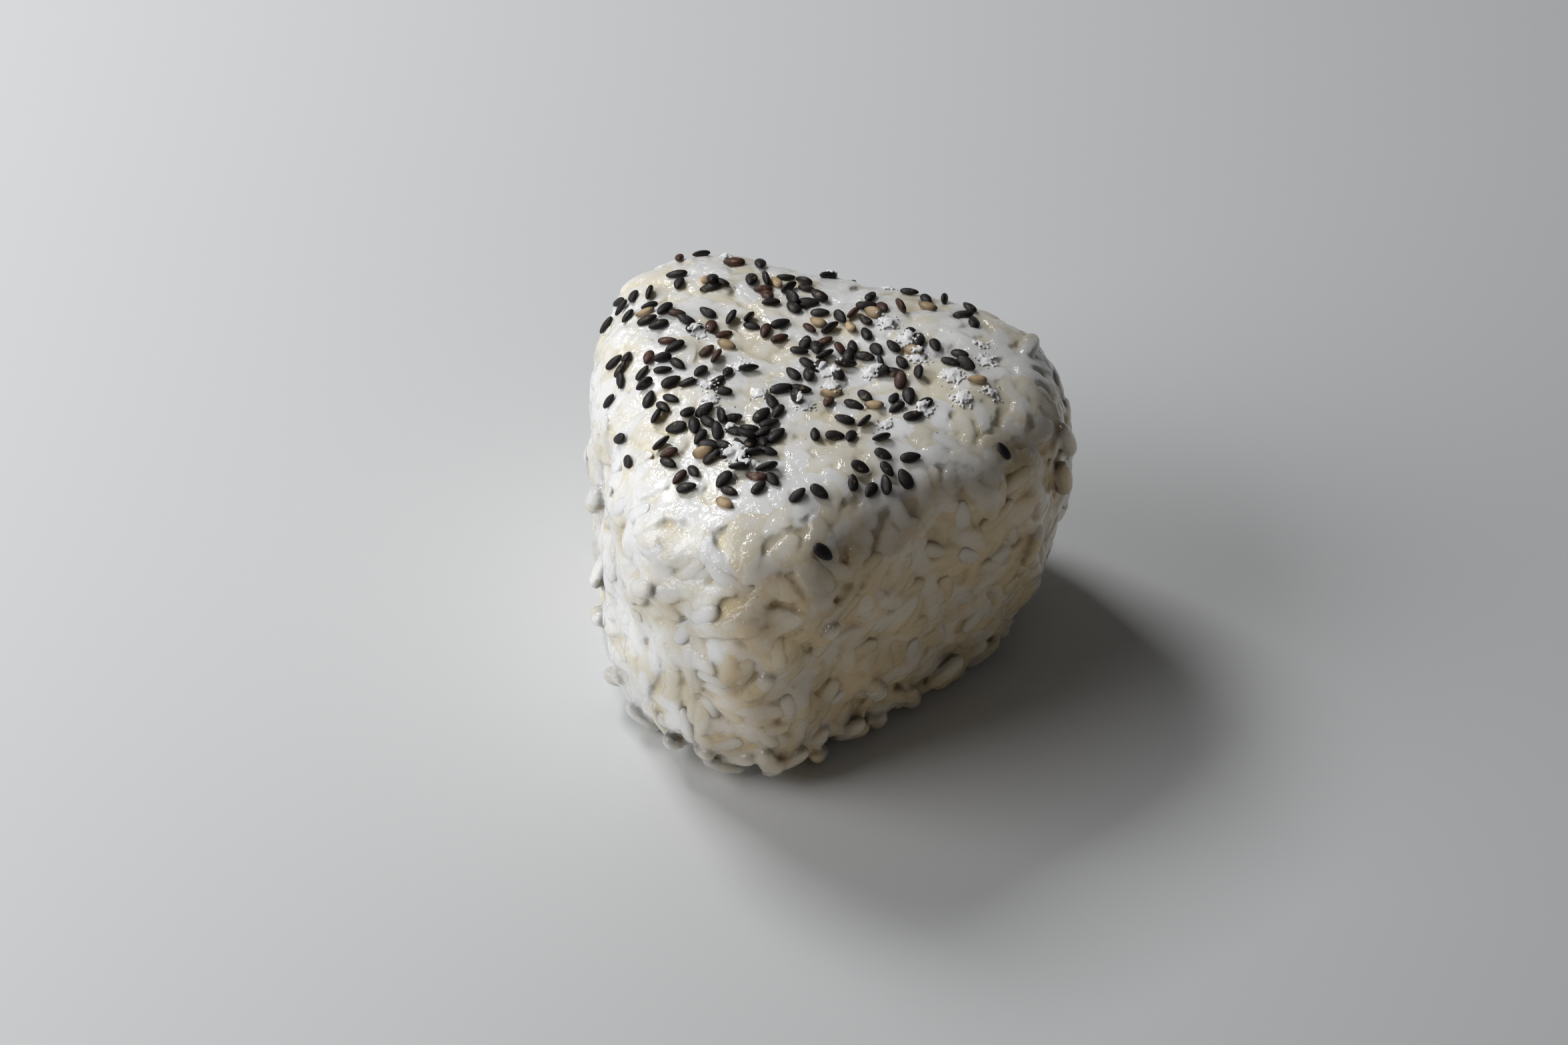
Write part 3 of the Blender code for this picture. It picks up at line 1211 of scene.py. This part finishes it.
def caked_salt(crystals):
    """Damp salt cakes together: melt touching crystals into crumbs."""
    material = crystals.data.materials[0]
    melt = crystals.modifiers.new("melt", "REMESH")
    melt.mode = "VOXEL"
    melt.voxel_size = SALT_VOXEL
    soften = crystals.modifiers.new("soften", "SMOOTH")
    soften.iterations = 1
    mesh = evaluated_copy(crystals, "coarse_salt")
    bpy.data.objects.remove(crystals)
    mesh.polygons.foreach_set("use_smooth", [True] * len(mesh.polygons))
    wear_only(mesh, material)
    return new_object("coarse_salt", mesh)


SPECKS = 70
SPECK_SPREAD = 17.0 * MM
LOWEST_SPECK = 12.0 * MM


def speck_marks(sizes, tree):
    """Tiny dark crumbs of seed skin, thinly over the top and shoulders."""
    rng = random.Random(sizes.scatter_seed + 2)
    marks = []
    while len(marks) < SPECKS:
        x = rng.gauss(0.0, SPECK_SPREAD)
        y = rng.gauss(2.0 * MM, SPECK_SPREAD)
        height = drop([tree], x, y)
        if height is None or height < LOWEST_SPECK:
            continue
        turn = Euler([rng.uniform(0.0, math.tau) for _ in range(3)]).to_matrix()
        size = rng.uniform(0.4, 1.1)
        marks.append({
            "place": Vector((x, y, height + 0.04 * MM)), "turn": turn, "tint": rng.random(),
            "size": Vector((size, size * rng.uniform(0.35, 0.6), size * 0.35)),
        })
    return marks


def speck_material(colours):
    material, tree, shader = principled("speck")
    dark = tuple(colours.speck)
    tone = blend(tree, attribute(tree, "tint"), dark, tuple(part * 2.5 for part in dark))
    tree.links.new(tone, shader.inputs["Base Color"])
    shader.inputs["Roughness"].default_value = 0.6
    return material


def salt_marks(sizes, trees):
    """Heaps of crystals, each crystal on what lies below it and a few piled higher."""
    rng = random.Random(sizes.scatter_seed + 1)
    marks = []
    for x, y, count, width in SALT_HEAPS:
        for _ in range(count * CRYSTALS_PER_CRUMB):
            away = abs(rng.gauss(0.0, width * HEAP_WIDTH))
            angle = rng.uniform(0.0, math.tau)
            px = (x + away * math.cos(angle)) * MM
            py = (y + away * math.sin(angle)) * MM
            height = drop(trees, px, py)
            if height is None:
                continue
            pile = max(0.0, 1.0 - away / width) * rng.uniform(0.0, HEAP_HEIGHT)
            pile *= sizes.salt_crystal
            turn = Euler([rng.uniform(0.0, math.tau) for _ in range(3)]).to_matrix()
            size = rng.uniform(0.55, 1.5)
            marks.append({
                "place": Vector((px, py, height + pile + 0.05 * MM)), "turn": turn,
                "size": Vector([size * rng.uniform(0.8, 1.2) for _ in range(3)]),
                "tint": rng.random(),
            })
    return marks


# ---------------------------------------------------------------- operators


class ONIGIRI_OT_guide(Operator):
    """Make the smooth pressed surface that the grains lie on"""

    bl_idname = "onigiri.guide"
    bl_label = "Pressed surface"

    def execute(self, context):
        pressed_surface(context.scene.onigiri_sizes)
        grain_collection(context.scene.onigiri_sizes)
        rice_material(context.scene.onigiri_colours)
        return {"FINISHED"}


class ONIGIRI_OT_rice(Operator):
    """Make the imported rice: layers of grains melted into the core, cut into four quarters"""

    bl_idname = "onigiri.rice"
    bl_label = "Packed rice"

    def execute(self, context):
        sizes = context.scene.onigiri_sizes
        guide = bpy.data.objects[GUIDE_NAME]
        core = new_object("core", core_mesh(guide))
        tree = grain_tree()
        upper = (sizes.grain_spacing / MM, sizes.grain_sink / MM, UPPER_VARIATION, 1.0, 0)
        layers = {
            name: lay_grains(tree, name, TOP, UNDER, layer, sizes)
            for name, layer in (
                ("Lower", LOWER_GRAINS), ("Upper", upper), ("Standing", STANDING_GRAINS),
            )
        }
        layers["Rim"] = rim_layer(sizes)
        melted = new_object("melted", fused_mesh(core, layers))
        noted = run_tree(melted, note_tree(), {
            "Grains": layers["Upper"], "Guide": guide, "Crinkle": sizes.crinkle,
            "Material": bpy.data.materials[RICE_FINISH],
        }, "noted_rice")
        normals = [vertex.normal.copy() for vertex in noted.data.vertices]
        write_attribute(noted.data, "skin_normal", "FLOAT_VECTOR", "POINT", normals)
        for name, x_side, y_side in QUARTERS:
            piece = new_object(name, quarter(noted.data, name, x_side, y_side))
            keep_piece(piece)
            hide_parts(BALL_NODE)
        for helper in (core, melted, noted, *layers.values()):
            bpy.data.objects.remove(helper)
        return {"FINISHED"}


class ONIGIRI_OT_grains(Operator):
    """Lay the grains that stand free on the walls"""

    bl_idname = "onigiri.grains"
    bl_label = "Wall grains"

    def execute(self, context):
        sizes = context.scene.onigiri_sizes
        tree = grain_tree()
        for name, zone in GRAIN_PIECES:
            piece = lay_grains(tree, name, zone, zone, WALL_GRAINS, sizes)
            keep_piece(piece)
            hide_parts(BALL_NODE)
        return {"FINISHED"}


class ONIGIRI_OT_seeds(Operator):
    """Strew the sesame seeds over the upper face"""

    bl_idname = "onigiri.seeds"
    bl_label = "Sesame seeds"

    def execute(self, context):
        sizes = context.scene.onigiri_sizes
        colours = context.scene.onigiri_colours
        rice = surface_tree(RICE_PIECES)
        marks = laid_seeds(sizes, rice)
        brown_from = 1.0 - SEED_PALE_SHARE - SEED_BROWN_SHARE
        pale_from = 1.0 - SEED_PALE_SHARE
        kinds = (
            ("sesame_black", 0.0, brown_from, colours.seed_black, 0.16),
            ("sesame_brown", brown_from, pale_from, colours.seed_brown, 0.2),
            ("sesame_pale", pale_from, 1.1, colours.seed_pale, 0.3),
        )
        for name, low, high, skin, worn in kinds:
            chosen = [mark for mark in marks if low <= mark["kind"] < high]
            material = seed_material(name, tuple(skin), worn, colours)
            keep_piece(copies(name, chosen, seed_form(sizes, name + "_form"), material))
        return {"FINISHED"}


class ONIGIRI_OT_salt(Operator):
    """Sprinkle the coarse salt"""

    bl_idname = "onigiri.salt"
    bl_label = "Coarse salt"

    def execute(self, context):
        sizes = context.scene.onigiri_sizes
        names = RICE_PIECES + ("sesame_black", "sesame_brown", "sesame_pale")
        marks = salt_marks(sizes, [surface_tree(names)])
        material = salt_material(context.scene.onigiri_colours)
        crystals = copies("salt_crystals", marks, crystal_form(sizes), material)
        keep_piece(caked_salt(crystals))
        material = speck_material(context.scene.onigiri_colours)
        marks = speck_marks(sizes, surface_tree(RICE_PIECES))
        keep_piece(copies("dark_specks", marks, crystal_form(sizes), material))
        return {"FINISHED"}


class ONIGIRI_OT_tidy(Operator):
    """Remove the guide surface and the grain forms"""

    bl_idname = "onigiri.tidy"
    bl_label = "Remove helpers"

    def execute(self, context):
        collection = bpy.data.collections["grain_forms"]
        for helper in [bpy.data.objects[GUIDE_NAME], *collection.objects]:
            bpy.data.objects.remove(helper)
        bpy.data.collections.remove(collection)
        return {"FINISHED"}


class ONIGIRI_OT_stage(Operator):
    """Set the floor, the lamps and the camera"""

    bl_idname = "onigiri.stage"
    bl_label = "Stage"

    def execute(self, context):
        make_floor(context.scene.onigiri_colours)
        make_lamps(context.scene)
        make_camera(context.scene)
        context.scene.view_settings.view_transform = "Standard"
        return {"FINISHED"}


# ---------------------------------------------------------------- stage


# The camera looks down at the ball from the front right.
CAMERA_AZIMUTH = math.radians(21.6)
CAMERA_ELEVATION = math.radians(40.0)
CAMERA_DISTANCE = 0.800
CAMERA_LENS = 125.0
CAMERA_AIM = Vector((-0.0004, 0.0, 0.0215))


def direction(azimuth, elevation):
    """From the ball towards an azimuth (0 is -Y) and an elevation, in radians."""
    flat = math.cos(elevation)
    return Vector((math.sin(azimuth) * flat, -math.cos(azimuth) * flat, math.sin(elevation)))


def make_floor(colours):
    floor = bmesh.new()
    bmesh.ops.create_grid(floor, x_segments=4, y_segments=4, size=1.5)
    mesh = bpy.data.meshes.new("floor")
    floor.to_mesh(mesh)
    floor.free()
    mesh.materials.append(floor_material(colours))
    new_object("floor", mesh)


def add_lamp(name, azimuth, elevation, distance, size, power):
    """A white square lamp that looks at the ball; azimuth and elevation are in degrees."""
    data = bpy.data.lights.new(name, "AREA")
    data.shape = "SQUARE"
    data.size = size
    data.energy = power
    lamp = new_object(name, data)
    toward = direction(math.radians(azimuth), math.radians(elevation))
    lamp.location = toward * distance
    lamp.rotation_euler = toward.to_track_quat("Z", "Y").to_euler()
    return lamp


# Lamps: azimuth and elevation in degrees, distance and size in metres, power in watts.
LAMPS = (
    ("key_lamp", -58.0, 34.0, 0.7, 0.5, 2.8),
    ("window_lamp", -118.0, 46.0, 0.7, 0.22, 2.3),
)
ROOM_LIGHT = 0.05


def make_lamps(scene):
    for lamp in LAMPS:
        add_lamp(*lamp)
    world = bpy.data.worlds.new("studio")
    world.use_nodes = True
    background = world.node_tree.nodes["Background"]
    background.inputs["Color"].default_value = (1.0, 1.0, 1.0, 1.0)
    background.inputs["Strength"].default_value = ROOM_LIGHT
    scene.world = world


def make_camera(scene):
    data = bpy.data.cameras.new("camera")
    data.lens = CAMERA_LENS
    data.clip_start = 0.01
    camera = new_object("camera", data)
    toward = direction(CAMERA_AZIMUTH, CAMERA_ELEVATION)
    camera.location = CAMERA_AIM + toward * CAMERA_DISTANCE
    camera.rotation_euler = toward.to_track_quat("Z", "Y").to_euler()
    scene.camera = camera


# ---------------------------------------------------------------- panel and registration


STEPS = (
    ONIGIRI_OT_guide, ONIGIRI_OT_rice, ONIGIRI_OT_grains, ONIGIRI_OT_seeds, ONIGIRI_OT_salt,
    ONIGIRI_OT_tidy, ONIGIRI_OT_stage,
)


class ONIGIRI_PT_panel(Panel):
    """Lists the pieces of the rice ball in building order"""

    bl_idname = "ONIGIRI_PT_panel"
    bl_label = "Onigiri"
    bl_space_type = "VIEW_3D"
    bl_region_type = "UI"
    bl_category = "Onigiri"

    def draw(self, context):
        for group in (context.scene.onigiri_sizes, context.scene.onigiri_colours):
            for name in group.__annotations__:
                self.layout.prop(group, name)
        for step in STEPS:
            self.layout.operator(step.bl_idname)


CLASSES = (OnigiriSizes, OnigiriColours, *STEPS, ONIGIRI_PT_panel)


def register():
    for item in CLASSES:
        bpy.utils.register_class(item)
    bpy.types.Scene.onigiri_sizes = PointerProperty(type=OnigiriSizes)
    bpy.types.Scene.onigiri_colours = PointerProperty(type=OnigiriColours)


def unregister():
    del bpy.types.Scene.onigiri_colours
    del bpy.types.Scene.onigiri_sizes
    for item in reversed(CLASSES):
        bpy.utils.unregister_class(item)


def main():
    register()
    for step in STEPS:
        area, name = step.bl_idname.split(".")
        getattr(getattr(bpy.ops, area), name)()


if __name__ == "__main__":
    main()
